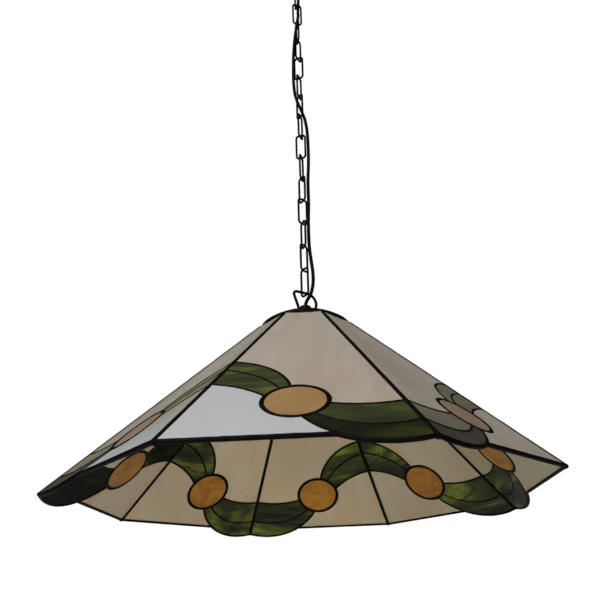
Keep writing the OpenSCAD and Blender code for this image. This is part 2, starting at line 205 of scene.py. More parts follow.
def ring_about(centre, a, b, sides, wide, tall):
    """An oval of points round centre, wide along a and tall along b."""
    return [centre + a * (wide * math.cos(FULL * k / sides)) + b * (tall * math.sin(FULL * k / sides))
            for k in range(sides)]


def resample(points, step, closed=False):
    """Evenly spaced points along a line, about step apart."""
    pts = [Vector(p) for p in points]
    if closed:
        pts.append(pts[0])
    out, carry = [pts[0]], 0.0
    total = sum((b - a).length for a, b in zip(pts, pts[1:]))
    count = max(2, round(total / step))
    gap = total / count
    for a, b in zip(pts, pts[1:]):
        length = (b - a).length
        at = gap - carry
        while at <= length - 1e-6:
            out.append(a.lerp(b, at / length))
            at += gap
        carry = length - (at - gap)
    if closed:
        while len(out) > count:
            out.pop()
    elif (out[-1] - pts[-1]).length > gap * 0.3:
        out.append(pts[-1])
    else:
        out[-1] = pts[-1]
    return out


def tangents(pts, closed):
    n = len(pts)
    result = []
    for i in range(n):
        a = pts[(i - 1) % n] if closed or i > 0 else pts[i]
        b = pts[(i + 1) % n] if closed or i < n - 1 else pts[i]
        result.append((b - a).normalized())
    return result


SWELL_PER_MM, RISE_PER_MM = 0.13, 0.09


def bead(shell, pts, normals, half_w, half_h, closed=False, sides=10, wobble=0.0, seed=0.0):
    """Sweeps an oval along pts, half_h along the normals. wobble makes it uneven, like solder."""
    tans = tangents(pts, closed)
    rings, sizes = [], []

    def section(at, w, h, ahead=0.0):
        side = tans[at].cross(normals[at]).normalized()
        up = side.cross(tans[at]).normalized()
        return ring_about(pts[at] + tans[at] * ahead, side, up, sides, w, h)

    def round_end(at, direction):
        w, h = sizes[at]
        reach = direction * min(w, h)
        steps = []
        for share in (0.5, 0.85):
            shrink = math.sqrt(1 - share * share)
            steps.append(section(at, w * shrink, h * shrink, reach * share))
        return steps, pts[at] + tans[at] * reach

    for i, p in enumerate(pts):
        broad, high = p * SWELL_PER_MM, p * RISE_PER_MM
        swell = 1 + wobble * noise.noise(broad + seed * X_AXIS)
        rise = 1 + wobble * 1.4 * noise.noise(high + seed * Y_AXIS + 5 * Z_AXIS)
        sizes.append((half_w * swell, half_h * rise))
        rings.append(section(i, *sizes[i]))
    if closed:
        shell.rings(rings, closed=True)
        return
    first, pole_a = round_end(0, -1)
    last, pole_b = round_end(len(pts) - 1, 1)
    shell.rings(first[::-1] + rings + last, poles=(pole_a, pole_b))


def blob(shell, centre, normal, radius, flat):
    """A low rounded lump of solder or weld where lines meet."""
    n = Vector(normal).normalized()
    a = n.orthogonal().normalized()
    b = n.cross(a)
    rings = []
    for lat in (-60, -30, 0, 30, 60):
        r, rise = radius * math.cos(math.radians(lat)), flat * math.sin(math.radians(lat))
        rings.append(ring_about(centre + n * rise, a, b, 12, r, r))
    shell.rings(rings, poles=(centre - n * flat, centre + n * flat))


def lathe(name, profile, z0, material, slot, body, steps=72, flip=1):
    """Turns an outline of (radius, height) about the axis. flip=-1 hangs it upside down.

    An outline that starts on the axis also ends on it; any other is a closed loop."""
    rings = [ring_about(Vector((0, 0, z0 + flip * z)), X_AXIS, Y_AXIS, steps, r, r) for r, z in profile]
    shell = Shell()
    if profile[0][0] == 0:
        shell.rings(rings[1:-1], poles=(rings[0][0], rings[-1][0]))
    else:
        shell.rings(rings, closed=True)
    obj = shell.build(name, material, slot, body)
    fix_normals(obj)
    return obj


def arc_points(centre, radius, a1, a2, count=14):
    """Points on a circle from angle a1 to a2, in degrees."""
    angles = [math.radians(a1 + (a2 - a1) * k / count) for k in range(count + 1)]
    return [(centre[0] + radius * math.cos(a), centre[1] + radius * math.sin(a)) for a in angles]


def fillet(corners, radius, count=5):
    """Rounds each corner of a closed (radius, height) outline; a third value is that corner's own radius."""
    out = []
    n = len(corners)
    for i in range(n):
        p = Vector(corners[i][:2])
        a = Vector(corners[i - 1][:2])
        b = Vector(corners[(i + 1) % n][:2])
        r = corners[i][2] if len(corners[i]) > 2 else radius
        r = min(r, (a - p).length * 0.45, (b - p).length * 0.45)
        if r < 0.02:
            out.append(tuple(p))
            continue
        pa, pb = p + (a - p).normalized() * r, p + (b - p).normalized() * r
        for k in range(count + 1):
            t = k / count
            q = pa * (1 - t) ** 2 + p * 2 * t * (1 - t) + pb * t * t
            out.append((q.x, q.y))
    return out


# ---------------------------------------------------------------- materials

class Look:
    """A small builder for a procedural material on one Principled shader."""

    def __init__(self, name, **sockets):
        self.mat = bpy.data.materials.new(name)
        self.mat.use_nodes = True
        self.tree = self.mat.node_tree
        self.shader = self.tree.nodes["Principled BSDF"]
        for key, value in sockets.items():
            self.shader.inputs[key.replace("_", " ")].default_value = value
        self.coords = self.add("ShaderNodeTexCoord")

    def add(self, kind):
        return self.tree.nodes.new(kind)

    def link(self, a, b):
        self.tree.links.new(a, b)

    def feed(self, value, socket):
        """Links a socket to another, or sets it to a number or a colour."""
        if hasattr(value, "links"):
            self.link(value, socket)
        elif hasattr(value, "__len__"):
            socket.default_value = (*value[:3], 1)
        else:
            socket.default_value = value

    def mapping(self, source, kind="POINT", location=(0, 0, 0), rotation=(0, 0, 0), scale=(1, 1, 1)):
        n = self.add("ShaderNodeMapping")
        n.vector_type = kind
        n.inputs["Location"].default_value = location
        n.inputs["Rotation"].default_value = rotation
        n.inputs["Scale"].default_value = scale
        self.link(source, n.inputs["Vector"])
        return n.outputs["Vector"]

    def noise(self, vector, scale, detail=3.0, rough=0.5, distortion=0.0):
        n = self.add("ShaderNodeTexNoise")
        n.inputs["Scale"].default_value = scale
        n.inputs["Detail"].default_value = detail
        n.inputs["Roughness"].default_value = rough
        n.inputs["Distortion"].default_value = distortion
        self.link(vector, n.inputs["Vector"])
        return n.outputs["Fac"]

    def ramp(self, factor, stops):
        n = self.add("ShaderNodeValToRGB")
        elements = n.color_ramp.elements
        while len(elements) < len(stops):
            elements.new(0.5)
        for element, (at, colour) in zip(elements, stops):
            element.position = at
            rgb = colour if hasattr(colour, "__len__") else (colour, colour, colour)
            element.color = (*rgb[:3], 1)
        self.link(factor, n.inputs["Fac"])
        return n.outputs["Color"]

    def mix(self, factor, a, b):
        n = self.add("ShaderNodeMix")
        n.data_type = "RGBA"
        self.feed(factor, n.inputs[0])
        self.feed(a, n.inputs[6])
        self.feed(b, n.inputs[7])
        return n.outputs[2]

    def maths(self, operation, a, b=0.0):
        n = self.add("ShaderNodeMath")
        n.operation = operation
        self.feed(a, n.inputs[0])
        self.feed(b, n.inputs[1])
        return n.outputs[0]

    def axis(self, vector, letter):
        n = self.add("ShaderNodeSeparateXYZ")
        self.link(vector, n.inputs[0])
        return n.outputs[letter]

    def outside(self):
        """1 on faces that look up and out, 0 on those that look down and in, turning with the piece."""
        return self.maths("GREATER_THAN", self.axis(self.coords.outputs["Normal"], "Z"), 0.0)

    def colour(self, socket):
        self.link(socket, self.shader.inputs["Base Color"])

    def rough(self, factor, low, high):
        n = self.add("ShaderNodeMapRange")
        n.inputs["To Min"].default_value = low
        n.inputs["To Max"].default_value = high
        self.link(factor, n.inputs["Value"])
        self.link(n.outputs["Result"], self.shader.inputs["Roughness"])

    def bump(self, factor, strength, distance=0.001):
        n = self.add("ShaderNodeBump")
        n.inputs["Strength"].default_value = strength
        n.inputs["Distance"].default_value = distance
        self.link(factor, n.inputs["Height"])
        self.link(n.outputs["Normal"], self.shader.inputs["Normal"])
        if self.shader.inputs["Coat Weight"].default_value > 0:
            self.link(n.outputs["Normal"], self.shader.inputs["Coat Normal"])


def tinted(stops, tint):
    """The same colour ramp with each channel scaled."""
    return [(at, tuple(v * t for v, t in zip(colour, tint))) for at, colour in stops]


def dimmed(stops, factor):
    return tinted(stops, (factor, factor, factor))


class PanelAxes:
    """Masks laid out on one panel, in the axes of its own plane. Even panels are mirrored."""

    def __init__(self, look, panel):
        self.look, self.mirrored = look, panel % 2 == 0
        turn = (SLOPE, 0, math.radians(45 * (panel - 1)))
        self.flat = look.mapping(look.coords.outputs["Object"], "TEXTURE", rotation=turn)

    def within(self, arc):
        """1 inside a lead line's circle."""
        x, y, r = (v * RIM_R for v in arc)
        near = self.look.add("ShaderNodeVectorMath")
        near.operation = "DISTANCE"
        near.inputs[1].default_value = Vector((-x if self.mirrored else x, FLAT_FOOT + y, FLAT_FACE)) * MM
        self.look.link(self.flat, near.inputs[0])
        return self.look.maths("LESS_THAN", near.outputs["Value"], r * MM)

    def dip_side(self):
        """1 on the half where the ribbon dips to the rim."""
        across = self.look.axis(self.flat, "X")
        return self.look.maths("LESS_THAN" if self.mirrored else "GREATER_THAN", across, 0.0)

    def low_strip(self):
        """1 on the lower strip of the ribbon where it dips to the rim."""
        off_arc = self.look.maths("SUBTRACT", self.dip_side(), self.within(DIP[1]))
        return self.look.maths("GREATER_THAN", off_arc, 0.5)

    def lower_piece(self):
        """1 on the cream piece between the ribbon and the rim, 0 on the one over the ribbon."""
        low = self.look.maths("LESS_THAN", self.look.axis(self.flat, "Y"), (FLAT_FOOT + 45) * MM)
        return self.look.maths("MAXIMUM", self.within(CREST[1]), low)

    def fade_up(self, reach):
        """1 at the rim, falling to 0 at that many millimetres up the slope."""
        left = self.look.maths("SUBTRACT", (FLAT_FOOT + reach) * MM, self.look.axis(self.flat, "Y"))
        share = self.look.maths("DIVIDE", left, 0.85 * reach * MM)
        return self.look.maths("MAXIMUM", self.look.maths("MINIMUM", share, 1.0), 0.0)


BLACK_RGB = (0, 0, 0)


def glass_look(name, panel, outer, inner, stretch, scale, distortion, transmit, shine,
               lower=None, reach=None, shadow=1.0, dip_shade=1.0):
    """Opalescent art glass: milky, streaked along the sheet and glossy. Its inner faces are painted deeper
    and warmer, as the glass looks with light coming through it: painted light.

    outer, inner and lower are colour ramps. lower paints a white-grey sheen on the outer face under the
    ribbon, up to reach: painted reflection.
    The shadow factor paints shadow on the outer face of the ribbon's low strip, and the last factor paints
    shade on the inner face of its dip side."""
    look = Look(name, Roughness=0.35, IOR=1.5, Specular_IOR_Level=shine, Transmission_Weight=transmit,
                Coat_Weight=shine / 4, Coat_Roughness=0.12, Coat_IOR=1.5)
    axes = PanelAxes(look, panel)
    shift = (panel * 1.37, panel * 0.71, panel * 2.3)
    streaks = look.mapping(axes.flat, location=shift, scale=stretch)
    cloud = look.noise(streaks, scale, 5, 0.55, distortion)
    wisps = look.noise(streaks, scale * 2.6, 4, 0.6, distortion * 1.6)
    outer_wisps = look.ramp(wisps, [(0.42, 0.0), (0.66, 1.0)])
    inner_wisps = look.ramp(wisps, [(0.5, 0.0), (0.72, 1.0)])
    outer_rgb = look.mix(outer_wisps, look.ramp(cloud, outer), outer[-1][1])
    inner_rgb = look.mix(inner_wisps, look.ramp(cloud, inner), inner[-1][1])
    # Painted reflection: a white-grey sheen on the outer face of the piece under the ribbon.
    if lower:
        piece = axes.lower_piece()
        if reach:
            piece = look.maths("MULTIPLY", piece, axes.fade_up(reach))
        outer_rgb = look.mix(piece, outer_rgb, look.ramp(cloud, lower))
    # Painted shadow on the outer face of the ribbon's low strip.
    if shadow < 1:
        outer_rgb = look.mix(axes.low_strip(), outer_rgb, look.mix(1 - shadow, outer_rgb, BLACK_RGB))
    # Painted shade on the inner face of the ribbon's dip side.
    if dip_shade < 1:
        inner_rgb = look.mix(axes.dip_side(), inner_rgb, look.mix(1 - dip_shade, inner_rgb, BLACK_RGB))
    # The inner faces take the colour of light coming through the glass: painted light.
    look.colour(look.mix(look.outside(), inner_rgb, outer_rgb))
    waves = look.noise(look.mapping(axes.flat, location=shift), 26, 2, 0.4, 0.3)
    look.rough(wisps, 0.28, 0.42)
    look.bump(waves, 0.25, 0.002)
    return look.mat


# Each sheet's streaks, how much light it passes and how glossy it is.
CREAM_SHEET = dict(stretch=(1, 0.35, 1), scale=9, distortion=0.8, transmit=0.22, shine=0.2)
GREEN_SHEET = dict(stretch=(0.42, 1.25, 1), scale=15, distortion=1.1, transmit=0.15, shine=0.07)

# Panels painted apart from the rest: dimmed outer creams and darkened greens are painted shade, a white-grey
# lower piece and paler greens are painted reflection, and panels 3 and 4 have greener, darker inner creams.
# Factors that dim these panels' outer creams: painted shade.
CREAM_PAINTED_SHADE = {1: 0.87, 7: 0.8, 8: 0.8}
CREAM_INNER_TINT = {3: (0.80, 0.89, 0.86), 4: (0.93, 0.97, 0.94)}
# Panels whose lower piece is painted white-grey, fading out that many millimetres up on panel 8: painted
# reflection.
SHEEN_LOWER_REACH = {1: None, 8: 75}
# Panels whose outer greens are painted pale beige-grey: painted reflection.
SHEEN_GREEN_PANELS = (2, 8)
# Panels whose inner greens are dimmed, near black on the dip side: painted shade.
SHADED_GREEN = (7, 8)
# abs(x) - y, in metres, passes this only on the discs of panels 2 and 8, whose outer faces it pales: painted
# reflection.
SHEEN_AMBER_FROM = 0.295


def cream_look(panel):
    warm = 1 + 0.05 * math.sin(panel * 2.1)
    outer = [(0.28, (0.49 * warm, 0.405, 0.305)), (0.52, (0.55 * warm, 0.465, 0.36)),
             (0.72, (0.60, 0.54, 0.445))]
    inner = [(0.28, (0.54, 0.42, 0.27)), (0.46, (0.60 * warm, 0.47, 0.30)),
             (0.60, (0.64, 0.55, 0.36)), (0.75, (0.70, 0.45, 0.22))]
    # The white-grey of the lower piece is painted reflection.
    lower = [(0.3, (0.545, 0.55, 0.55)), (0.7, (0.61, 0.615, 0.615))]
    # Some panels' outer creams are dimmed: painted shade.
    outer = dimmed(outer, CREAM_PAINTED_SHADE.get(panel, 1.0))
    inner = tinted(inner, CREAM_INNER_TINT.get(panel, (1.0, 1.0, 1.0)))
    painted_sheen = dict(lower=lower, reach=SHEEN_LOWER_REACH[panel]) if panel in SHEEN_LOWER_REACH else {}
    return glass_look(f"cream_opal_{panel}", panel, outer, inner, **CREAM_SHEET, **painted_sheen)


def green_look(panel):
    outer = [(0.34, (0.020, 0.022, 0.009)), (0.48, (0.044, 0.053, 0.013)),
             (0.60, (0.112, 0.136, 0.028)), (0.74, (0.040, 0.047, 0.021))]
    # A pale beige-grey outer face: painted reflection.
    if panel in SHEEN_GREEN_PANELS:
        outer = [(0.34, (0.18, 0.155, 0.11)), (0.50, (0.23, 0.20, 0.14)),
                 (0.62, (0.25, 0.235, 0.14)), (0.75, (0.17, 0.16, 0.11))]
    inner = [(0.40, (0.008, 0.011, 0.003)), (0.51, (0.05, 0.06, 0.010)),
             (0.61, (0.24, 0.275, 0.028)), (0.76, (0.025, 0.034, 0.008))]
    sheet, dip_shade = GREEN_SHEET, 1.0
    # Panels 7 and 8: inner greens dimmed, near black on the dip side: painted shade.
    if panel in SHADED_GREEN:
        sheet, dip_shade = dict(GREEN_SHEET, shine=0.0), 0.1
        inner = dimmed(inner, 0.5)
    # Panel 6's inner greens are dimmed: painted shade.
    if panel == 6:
        inner = dimmed(inner, 0.7)
    return glass_look(f"moss_green_{panel}", panel, outer, inner, **sheet, shadow=0.35, dip_shade=dip_shade)


def amber_look():
    """Mottled amber, paler on the outer faces of panels 2 and 8 as a painted reflection, and a deeper orange
    on the inner faces, as light coming through it looks: painted light.
    """
    look = Look("amber_mottled", Roughness=0.32, IOR=1.5, Specular_IOR_Level=0.15, Transmission_Weight=0.2,
                Coat_Weight=0.05, Coat_Roughness=0.12, Coat_IOR=1.5)
    obj = look.coords.outputs["Object"]
    cloud = look.noise(obj, 26, 5, 0.6, 1.2)
    specks = look.noise(obj, 90, 4, 0.65, 0.8)
    outer = look.ramp(cloud, [(0.30, (0.355, 0.20, 0.07)), (0.52, (0.41, 0.245, 0.095)),
                              (0.72, (0.45, 0.295, 0.13))])
    beige = look.ramp(cloud, [(0.30, (0.36, 0.24, 0.15)), (0.72, (0.44, 0.31, 0.21))])
    spread = look.maths("SUBTRACT", look.maths("ABSOLUTE", look.axis(obj, "X")), look.axis(obj, "Y"))
    # Painted reflection: paler outer faces on the discs of panels 2 and 8.
    outer = look.mix(look.maths("GREATER_THAN", spread, SHEEN_AMBER_FROM), outer, beige)
    inner = look.ramp(cloud, [(0.30, (0.27, 0.097, 0.004)), (0.50, (0.46, 0.182, 0.006)),
                              (0.72, (0.61, 0.275, 0.012))])
    inner = look.mix(look.ramp(specks, [(0.52, 0.0), (0.70, 0.55)]), inner, (0.14, 0.055, 0.012))
    look.colour(look.mix(look.outside(), inner, outer))
    look.rough(specks, 0.26, 0.4)
    look.bump(look.noise(obj, 34, 2, 0.4, 0.3), 0.25, 0.002)
    return look.mat


def metal_look(name, dark, light, rough, metallic=0.0, scale=60, bump=0.25, coat=0.0, shine=0.5):
    """Patches from dark to light over a fine grain. It also serves for lacquer, plastic and porcelain."""
    look = Look(name, Metallic=metallic, Coat_Weight=coat, Coat_Roughness=0.2, Specular_IOR_Level=shine)
    obj = look.coords.outputs["Object"]
    patch = look.noise(obj, scale, 5, 0.6, 0.4)
    grain = look.noise(obj, scale * 14, 3, 0.6)
    look.colour(look.mix(look.ramp(patch, [(0.38, 0.0), (0.68, 1.0)]), dark, light))
    look.rough(patch, *rough)
    look.bump(grain, bump, 0.0002)
    return look.mat


SOLDER = metal_look("solder_patina", (0.002, 0.0018, 0.0015), (0.006, 0.005, 0.004), (0.38, 0.60),
                    metallic=0.1, scale=70, bump=0.4, shine=0.05)
BLACK = metal_look("black_lacquer", (0.002, 0.002, 0.002), (0.004, 0.0038, 0.0035), (0.36, 0.55),
                   scale=45, shine=0.07)
FLEX = metal_look("flex_sheath", (0.002, 0.002, 0.002), (0.004, 0.004, 0.004), (0.45, 0.62),
                  scale=30, bump=0.3, shine=0.05)
RUBBER = metal_look("bush_plastic", (0.012, 0.012, 0.012), (0.022, 0.021, 0.020), (0.5, 0.65),
                    scale=80, bump=0.3)
BRASS = metal_look("brass_aged", (0.42, 0.28, 0.10), (0.62, 0.44, 0.19), (0.28, 0.5),
                   metallic=1.0, scale=40)
ZINC = metal_look("zinc_plate", (0.42, 0.42, 0.40), (0.60, 0.60, 0.58), (0.3, 0.48), metallic=1.0)
BAKELITE = metal_look("bakelite", (0.012, 0.009, 0.007), (0.022, 0.017, 0.013), (0.28, 0.4),
                      scale=50, bump=0.1, coat=0.3)
PORCELAIN = metal_look("porcelain", (0.74, 0.72, 0.66), (0.80, 0.79, 0.75), (0.12, 0.22),
                       scale=50, bump=0.05, coat=0.4)
BULB_METAL = metal_look("bulb_metal", (0.55, 0.55, 0.54), (0.68, 0.68, 0.67), (0.25, 0.4),
                        metallic=1.0, bump=0.2)
BULB_GLASS = metal_look("bulb_frost", (0.66, 0.66, 0.63), (0.72, 0.72, 0.70), (0.35, 0.5),
                        scale=40, bump=0.1)


def repaint(node, material):
    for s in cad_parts[node].material_slots:
        s.material = material


# ---------------------------------------------------------------- flex

def joint_z(i):
    """The height at which link i carries the next one; 0 stands for the canopy's loop."""
    return FOOT_Z + (LINKS - i) * PITCH


def smooth_route(route, steps):
    pts = [Vector(p) for p in route]
    out = []
    for i in range(len(pts) - 1):
        a, b, c, d = pts[max(0, i - 1)], pts[i], pts[i + 1], pts[min(len(pts) - 1, i + 2)]
        for s in range(steps):
            t = s / steps
            out.append(0.5 * ((2 * b) + (c - a) * t + (2 * a - 5 * b + 4 * c - d) * t * t
                              + (3 * b - a - 3 * c + d) * t ** 3))
    out.append(pts[-1])
    return out


def make_flex():
    """One stretch for each pair of neighbours down the chain, cut half way along the links."""
    path = smooth_route(FLEX_ROUTE, 6)
    tans = tangents(path, False)
    normal = tans[0].orthogonal().normalized()
    rings = []
    for p, t in zip(path, tans):
        normal = (normal - t * normal.dot(t)).normalized()
        rings.append(ring_about(p, normal, t.cross(normal), 16, FLEX_R, FLEX_R))
    mids = [joint_z(i) + PITCH / 2 for i in range(1, LINKS + 1)]
    cuts = [0] + [min(range(len(path)), key=lambda j: abs(path[j].z - z)) for z in mids] + [len(path) - 1]
    for s in range(LINKS + 1):
        a, b = cuts[s], cuts[s + 1]
        shell = Shell()
        shell.rings(rings[a:b + 1])
        obj = shell.build(f"flex_stretch_{s + 1}", FLEX, "flex_sheath")
        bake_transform(obj)
        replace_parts(obj, "flex")


make_flex()


# ---------------------------------------------------------------- wires: chain, loops

def planar(points, turn):
    """Lifts (across, height) points into the upright plane with that heading."""
    c, s = math.cos(math.radians(turn)), math.sin(math.radians(turn))
    return [Vector((u * c, u * s, z)) for u, z in points], Vector((-s, c, 0))


def make_links():
    """Links of bent round wire. Two of every three have a slight swell half way up their sides."""
    side_x, side_z, r = LINK_HALF_W - LINK_CORNER, LINK_HALF_L - LINK_CORNER, LINK_CORNER
    for i, turn in enumerate(LINK_TURNS, 1):
        mid = joint_z(i) + PITCH / 2
        outline = (arc_points((side_x, mid + side_z), r, 0, 90, 10)
                   + arc_points((-side_x, mid + side_z), r, 90, 180, 10)
                   + arc_points((-side_x, mid - side_z), r, 180, 270, 10)
                   + arc_points((side_x, mid - side_z), r, 270, 360, 10))
        pts, normal = planar(outline, turn)
        pts = resample(pts, 1.6, closed=True)
        swell = 0.10 if i % 3 else 0.0
        rings = []
        for p, t in zip(pts, tangents(pts, True)):
            wire_r = LINK_WIRE_R * (1 + swell * math.exp(-((p.z - mid) / 1.3) ** 2))
            rings.append(ring_about(p, t.cross(normal).normalized(), normal, 14, wire_r, wire_r))
        shell = Shell()
        shell.rings(rings, closed=True)
        obj = shell.build(f"wire_link_{i}", BLACK, "black_metal", f"chain_link_{i}")
        fix_normals(obj)
        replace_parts(obj, f"chain_link_{i}")


def loop_wire(shell, points, turn):
    pts, normal = planar(points, turn)
    pts = resample(pts, 1.5)
    bead(shell, pts, [normal] * len(pts), LOOP_WIRE_R, LOOP_WIRE_R, sides=14)


def foot_weld(shell, u, z, turn, radius, flat):
    at, _ = planar([(u, z)], turn)
    blob(shell, at[0], Z_AXIS, radius, flat)


def tangent_lean(foot, centre, radius, sign):
    """The lean from upright of a straight leg from foot that touches a circle."""
    across, up = centre[0] - foot[0], centre[1] - foot[1]
    return math.degrees(math.atan2(across, up) + sign * math.asin(radius / math.hypot(across, up)))


BAIL_FEET = (-7.5, 9)


def shade_bail():
    """The bent bail: a tight corner on one side, a broad shoulder on the other, and two legs."""
    top = 35.75
    corner, corner_r = (-12.9, top - 4.5), 4.5
    shoulder, shoulder_r = (2.8, top - 14.5), 14.5
    left, right = ((u, 1.5) for u in BAIL_FEET)
    left_lean = tangent_lean(left, corner, corner_r, -1)
    right_lean = tangent_lean(right, shoulder, shoulder_r, 1)
    pts = ([left] + arc_points(corner, corner_r, 180 - left_lean, 90, 12)
           + arc_points(shoulder, shoulder_r, 90, -right_lean, 26) + [right])
    return [(u, z + APEX_Z) for u, z in pts]


COLLAR = fillet([(5.05, 0), (12, 0, 0.6), (12, 2.6, 0.9), (9.6, 3.0, 0.8), (8, 4.6, 1.2), (8, 13.2, 0.6),
                 (7.3, 14, 0.3), (4.5, 14), (4.5, 9), (5.05, 9)], 0.1)
BUSH = fillet([(2.9, 9), (4.45, 9), (4.45, 14), (5.7, 14, 0.3), (5.7, 14.9, 0.5), (4.9, 15.5, 0.4),
               (2.9, 15.5, 0.5)], 0.1)


def make_loops():
    shell = Shell()
    loop_wire(shell, shade_bail(), SHADE_LOOP_TURN)
    for u in BAIL_FEET:
        foot_weld(shell, u, APEX_Z + 2.2, SHADE_LOOP_TURN, 3.1, 1.5)
    bail = shell.build("bent_loop", BLACK, "black_metal", "shade")
    fix_normals(bail)
    collar = lathe("shade_collar", COLLAR, COLLAR_Z, BLACK, "black_metal", "shade")
    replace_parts(bail, "hanging_loop")
    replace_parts(collar, "hanging_loop")
    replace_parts(lathe("shade_cord_bush", BUSH, COLLAR_Z, RUBBER, "bush_plastic", "shade"), "lower_bush")

    bend_r, half_w, foot_z = 7, 9, -31
    bend_z = joint_z(0) - LINK_GAP / 2 - LOOP_WIRE_R + bend_r
    outline = ([(-half_w, foot_z)] + arc_points((bend_r - half_w, bend_z), bend_r, 180, 270, 14)
               + arc_points((half_w - bend_r, bend_z), bend_r, 270, 360, 14) + [(half_w, foot_z)])
    shell = Shell()
    loop_wire(shell, outline, CANOPY_LOOP_TURN)
    for u in (-half_w, half_w):
        foot_weld(shell, u, foot_z - 1.4, CANOPY_LOOP_TURN, 2.9, 1.3)
    stirrup = shell.build("canopy_stirrup", BLACK, "black_metal", "ceiling_canopy")
    fix_normals(stirrup)
    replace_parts(stirrup, "canopy_loop")
    collar = lathe("canopy_collar", COLLAR, CANOPY_COLLAR_Z, BLACK, "black_metal", "ceiling_canopy", flip=-1)
    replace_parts(collar, "canopy_loop")
    bush = lathe("canopy_cord_bush", BUSH, CANOPY_COLLAR_Z, RUBBER, "bush_plastic", "ceiling_canopy", flip=-1)
    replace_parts(bush, "upper_bush")


def dome(radius, height, lip, sheet):
    """The outline of a pressed sheet dome with a short upright lip and a hole at its crown."""
    rise = height - lip
    ball = (radius * radius + rise * rise) / (2 * rise)

    def at(r, big):
        return height - ball + math.sqrt(max(0.0, big * big - r * r))

    brim = radius - 1
    outer = [(radius - 0.2, 0.0), (radius, 0.5), (radius, lip * 0.55), (radius - 0.35, lip + 0.1)]
    outer += [(r, at(r, ball)) for r in (brim - (brim - DOME_HOLE_R) * k / 22 for k in range(23))]
    inside = radius - sheet
    inner = [(r, at(r, ball - sheet)) for r in
             (DOME_HOLE_R + (inside - 2 - DOME_HOLE_R) * k / 20 for k in range(21))]
    return outer + inner + [(inside, lip * 0.6), (inside, 0.35), (inside + 0.3, 0.0)]


def make_caps():
    cap = lathe("domed_cap", dome(*CAP_DOME), CAP_Z, BLACK, "black_metal", "shade", steps=96)
    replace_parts(cap, "vase_cap")
    dish = lathe("canopy_dish", dome(*CANOPY_DOME), 0, BLACK, "black_metal", "ceiling_canopy",
                 steps=96, flip=-1)
    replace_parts(dish, "ceiling_canopy")


make_links()
make_loops()
make_caps()


# ---------------------------------------------------------------- leaded shade

# Half widths and heights of the solder lines, in the order CREST, then DIP.
LINE_HALF_W = (2.4, 1.9, 2.3, 2.4, 1.9, 2.4)
LINE_HALF_H = (2.25, 2.25, 2.25, 2.25, 2.25, 2.35)
DISC_RING = (3.0, 2.5)
RIM_LINE = (2.6, 2.45)
RIDGE_LINE, RIDGE_INNER_LINE = (2.9, 2.6), (2.5, 1.7)
ARC_STEPS = 1440


def seam_x(y):
    return RIM_HALF - y * TAPER


def panel_turn(i):
    return Matrix.Rotation(math.radians(45 * (i - 1)), 3, "Z")


def on_panel(i, x, y, h=0.0):
    """A point on panel i: x across, y up the slope from the rim, h off its face."""
    if i % 2 == 0:
        x = -x
    return panel_turn(i) @ Vector((x, -APOTHEM + y * COS - h * SIN, RIM_Z + y * SIN + h * COS))


def out_normal(i):
    return panel_turn(i) @ Vector((0, -SIN, COS))


def arc_run(arc, crest):
    """The stretch of a ribbon's lead line from the disc to the seam."""
    cx, cy, r = (v * RIM_R for v in arc)
    pts = []
    for k in range(ARC_STEPS):
        a = math.radians(360 * k / ARC_STEPS)
        pts.append((cx + r * math.cos(a), cy + r * math.sin(a)))

    def keep(p):
        x, y = p
        if (y < DISC.y) == crest or abs(x) > seam_x(y) or y < -RIM_R / 4 or y > SLOPE_L:
            return False
        return (x < 0) == crest and math.hypot(x - DISC.x, y - DISC.y) > DISC_R

    flags = [keep(p) for p in pts]
    best = []
    for k in range(ARC_STEPS):
        if not flags[k] or flags[k - 1]:
            continue
        run = []
        while flags[k % ARC_STEPS] and len(run) < ARC_STEPS:
            run.append(pts[k % ARC_STEPS])
            k += 1
        if len(run) > len(best):
            best = run
    return best


def lobe_foot():
    """How far below the rim a dip's seam runs, to the edge of the lobe."""
    cx, cy, r = (v * RIM_R for v in DIP[2])
    y = 0.0
    while y > -60 and math.hypot(seam_x(y) - cx, y - cy) < r:
        y -= 0.1
    return y


def make_panel(i):
    """The solder lines on one panel, with a lump at each meeting."""
    shell = Shell()
    up = out_normal(i)

    def line(points, half_w, half_h, seed, closed=False):
        pts = resample([on_panel(i, x, y) for x, y in points], 3.0, closed)
        bead(shell, pts, [up] * len(pts), half_w, half_h, closed=closed, wobble=0.07, seed=seed)

    for k, arc in enumerate(CREST + DIP):
        run = arc_run(arc, k < len(CREST))
        line(run, LINE_HALF_W[k], LINE_HALF_H[k], seed=i * 3.1 + k)
        for end in (run[0], run[-1]):
            blob(shell, on_panel(i, *end), up, 2.2, 2.3)
    line(arc_points((DISC.x, DISC.y), DISC_R, 0, 355, 71), *DISC_RING, seed=i * 1.7, closed=True)
    # The rim's line stops where the lobe's edge crosses it, on the disc's side of the seam.
    lobe = [p for p in arc_run(DIP[2], False) if p[0] < 80]
    cross = min(lobe, key=lambda p: abs(p[1]))
    line([(-RIM_HALF, 0.3), (cross[0], 0.3)], *RIM_LINE, seed=i * 5.3)
    blob(shell, on_panel(i, cross[0], 0.3), up, 2.5, 2.45)
    return shell


